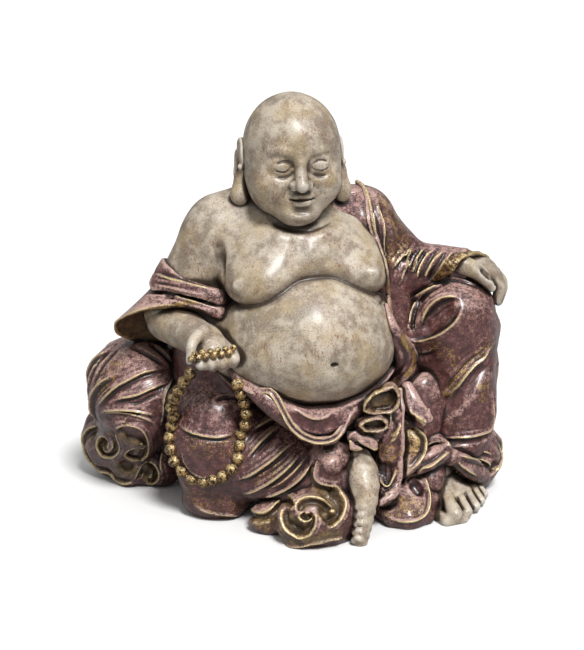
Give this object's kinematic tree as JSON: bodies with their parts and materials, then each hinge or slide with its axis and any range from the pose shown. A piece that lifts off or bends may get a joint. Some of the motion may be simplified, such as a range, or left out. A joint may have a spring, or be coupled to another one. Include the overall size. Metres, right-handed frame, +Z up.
{
  "type": "laughing buddha statue",
  "caption": "Seated round-bellied figure in an open robe, one knee raised, holding a string of beads, on a flat base.",
  "frame": {"origin": "on the ground, under the middle of the whole figure", "axes": "+Z up, the figure faces -Y, its left hand is towards +X"},
  "size_m": [0.2506, 0.1694, 0.2498],
  "materials": {
    "stone_paint": "cream and grey stone-coloured paint on cast resin, satin",
    "robe_paint": "purple-brown paint with gilding rubbed over the folds, satin",
    "gilt_paint": "old gold paint, half-gloss"
  },
  "bodies": {
    "root": {"torso": "stone_paint", "head": "stone_paint", "right_ear": "stone_paint", "left_ear": "stone_paint", "right_upper_arm": "stone_paint", "right_forearm": "stone_paint", "right_hand": "stone_paint", "left_hand": "stone_paint", "left_foot": "stone_paint", "right_foot": "stone_paint", "right_sleeve_band": "robe_paint", "right_sleeve_cuff": "robe_paint", "robe_left_knee": "robe_paint", "robe_left_sleeve": "robe_paint", "left_sleeve_cuff": "gilt_paint", "robe_left_shoulder": "robe_paint", "robe_left_shin": "robe_paint", "robe_right_knee": "robe_paint", "robe_right_thigh": "robe_paint", "robe_right_shin": "robe_paint", "waist_cloth": "robe_paint", "waist_hem": "gilt_paint", "collar_hem": "gilt_paint", "sash_knot": "gilt_paint", "sash_upper_loop": "gilt_paint", "sash_lower_loop": "gilt_paint", "sash_tail": "robe_paint", "robe_front_panel": "robe_paint", "hem_over_left_foot": "robe_paint", "hem_left_scrolls": "gilt_paint", "hem_centre_scrolls": "gilt_paint", "hem_front_right": "robe_paint", "hem_right_corner": "robe_paint", "robe_back": "robe_paint", "hand_beads": "gilt_paint", "bead_01": "gilt_paint", "bead_02": "gilt_paint", "bead_03": "gilt_paint", "bead_04": "gilt_paint", "bead_05": "gilt_paint", "bead_06": "gilt_paint", "bead_07": "gilt_paint", "bead_08": "gilt_paint", "bead_09": "gilt_paint", "bead_10": "gilt_paint", "bead_11": "gilt_paint", "bead_12": "gilt_paint", "bead_13": "gilt_paint", "bead_14": "gilt_paint", "bead_15": "gilt_paint", "bead_16": "gilt_paint", "bead_17": "gilt_paint", "bead_18": "gilt_paint", "bead_19": "gilt_paint", "bead_20": "gilt_paint", "bead_21": "gilt_paint", "bead_22": "gilt_paint", "bead_23": "gilt_paint", "bead_24": "gilt_paint"}
  },
  "joints": []
}
